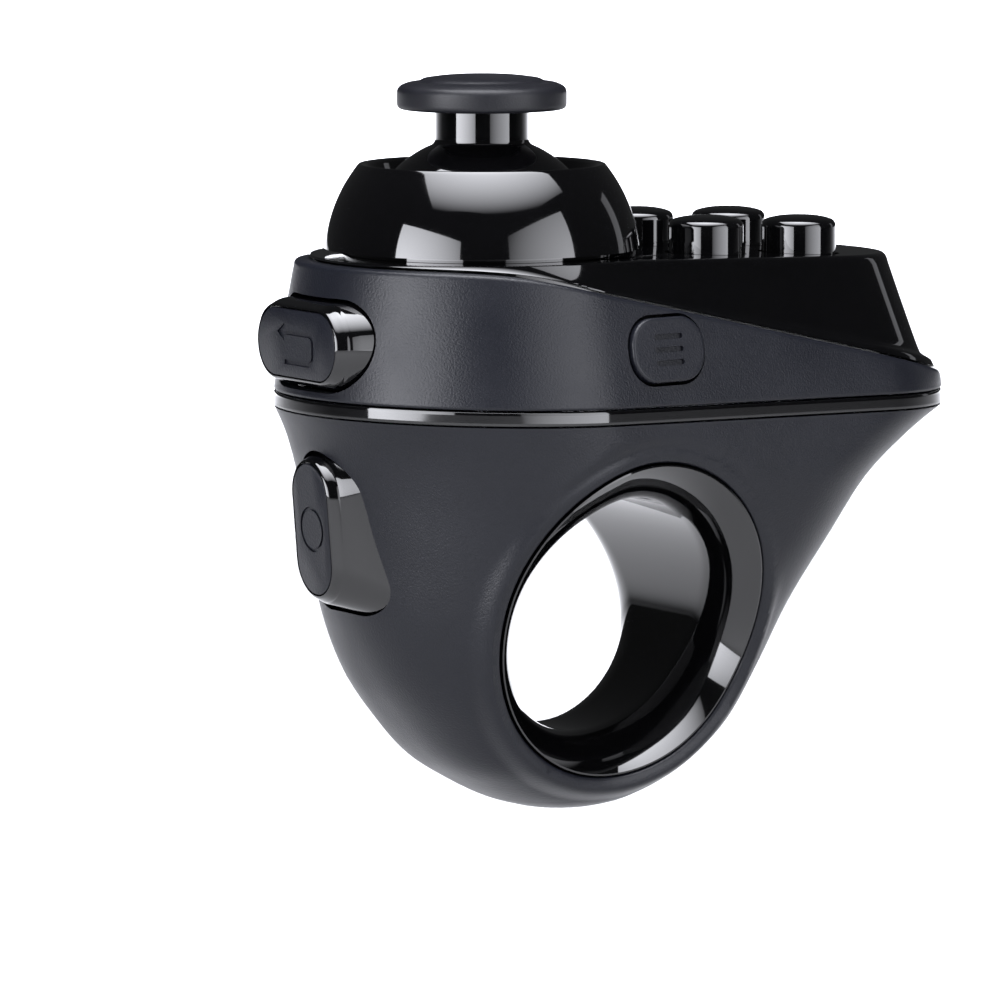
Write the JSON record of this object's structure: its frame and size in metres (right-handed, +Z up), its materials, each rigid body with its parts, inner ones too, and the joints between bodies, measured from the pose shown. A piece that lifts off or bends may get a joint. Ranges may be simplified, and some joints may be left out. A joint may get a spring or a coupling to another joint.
{
  "type": "finger-ring thumbstick controller",
  "caption": "Small black controller worn on a finger ring, with a domed thumb stick and face buttons on top, push buttons on its front and a menu button on its side.",
  "frame": {"origin": "centre of the finger hole, halfway through it", "axes": "+X from the front buttons to the tail, +Y along the finger hole away from the side with the menu button, +Z up towards the thumb stick"},
  "size_m": [0.0649, 0.0372, 0.0655],
  "materials": {
    "matte_shell": "satin",
    "gloss_shell": "gloss",
    "grip_rubber": "matte",
    "keypad_rubber": "matte",
    "nylon": "satin",
    "steel": "satin",
    "circuit_board": "satin",
    "cell_foil": "satin",
    "lens": "gloss"
  },
  "bodies": {
    "housing": {"ring_housing": "matte_shell", "finger_liner": "gloss_shell", "trim_band": "gloss_shell", "mid_housing": "matte_shell", "top_cover": "gloss_shell", "dome_cup": "gloss_shell", "joystick_frame": "steel", "tilt_sensor": "circuit_board", "side_sensor": "circuit_board", "return_plate": "nylon", "return_spring": "steel", "keypad_mat": "keypad_rubber", "main_board": "circuit_board", "front_board": "circuit_board", "back_switch": "nylon", "trigger_switch": "nylon", "menu_switch": "nylon", "battery": "cell_foil", "radio_module": "steel", "status_led": "lens", "light_pipe": "lens", "usb_socket": "steel", "board_screw_1": "steel", "board_screw_2": "steel", "board_screw_3": "steel"},
    "tilt_yoke": {"tilt_yoke": "nylon"},
    "stick": {"ball_skirt": "gloss_shell", "joystick_cap": "grip_rubber", "stick_shaft": "steel"},
    "sensor_yoke": {"sensor_yoke": "nylon"},
    "face_1": {"face_button_1": "gloss_shell"},
    "face_2": {"face_button_2": "gloss_shell"},
    "face_3": {"face_button_3": "gloss_shell"},
    "face_4": {"face_button_4": "gloss_shell"},
    "back": {"back_button": "gloss_shell", "back_button_face": "matte_shell"},
    "trigger": {"trigger_button": "gloss_shell", "trigger_button_face": "matte_shell"},
    "menu": {"menu_button": "matte_shell"}
  },
  "joints": [
    {"name": "stick_tilt", "type": "hinge", "parent": "housing", "child": "tilt_yoke", "pos_m": [-0.0079, 0, 0.0313], "axis": [0, 1, 0], "range_deg": [-18, 18], "stiffness_Nm_per_rad": 0.05},
    {"name": "stick_side", "type": "hinge", "parent": "tilt_yoke", "child": "stick", "pos_m": [-0.0079, 0, 0.0313], "axis": [1, 0, 0], "range_deg": [-18, 18], "stiffness_Nm_per_rad": 0.05},
    {"name": "sensor_turn", "type": "hinge", "parent": "housing", "child": "sensor_yoke", "pos_m": [-0.0079, 0, 0.0313], "axis": [1, 0, 0], "range_deg": [-18, 18]},
    {"name": "face_press_1", "type": "slide", "parent": "housing", "child": "face_1", "axis": [0, 0, -1], "range_m": [0, 0.001], "stiffness_N_per_m": 1500, "springref_m": -0.0002},
    {"name": "face_press_2", "type": "slide", "parent": "housing", "child": "face_2", "axis": [0, 0, -1], "range_m": [0, 0.001], "stiffness_N_per_m": 1500, "springref_m": -0.0002},
    {"name": "face_press_3", "type": "slide", "parent": "housing", "child": "face_3", "axis": [0, 0, -1], "range_m": [0, 0.001], "stiffness_N_per_m": 1500, "springref_m": -0.0002},
    {"name": "face_press_4", "type": "slide", "parent": "housing", "child": "face_4", "axis": [0, 0, -1], "range_m": [0, 0.001], "stiffness_N_per_m": 1500, "springref_m": -0.0002},
    {"name": "back_press", "type": "slide", "parent": "housing", "child": "back", "axis": [1, 0, 0], "range_m": [0, 0.0006], "stiffness_N_per_m": 3000, "springref_m": -0.0002},
    {"name": "trigger_press", "type": "slide", "parent": "housing", "child": "trigger", "axis": [1, 0, 0], "range_m": [0, 0.0006], "stiffness_N_per_m": 3000, "springref_m": -0.0002},
    {"name": "menu_press", "type": "slide", "parent": "housing", "child": "menu", "axis": [-0.1588, 0.9741, -0.1607], "range_m": [0, 0.0005], "stiffness_N_per_m": 3000, "springref_m": -0.0002}
  ],
  "couplings": [
    {"joint": "sensor_turn", "follows": "stick_side", "ratio": 1}
  ]
}
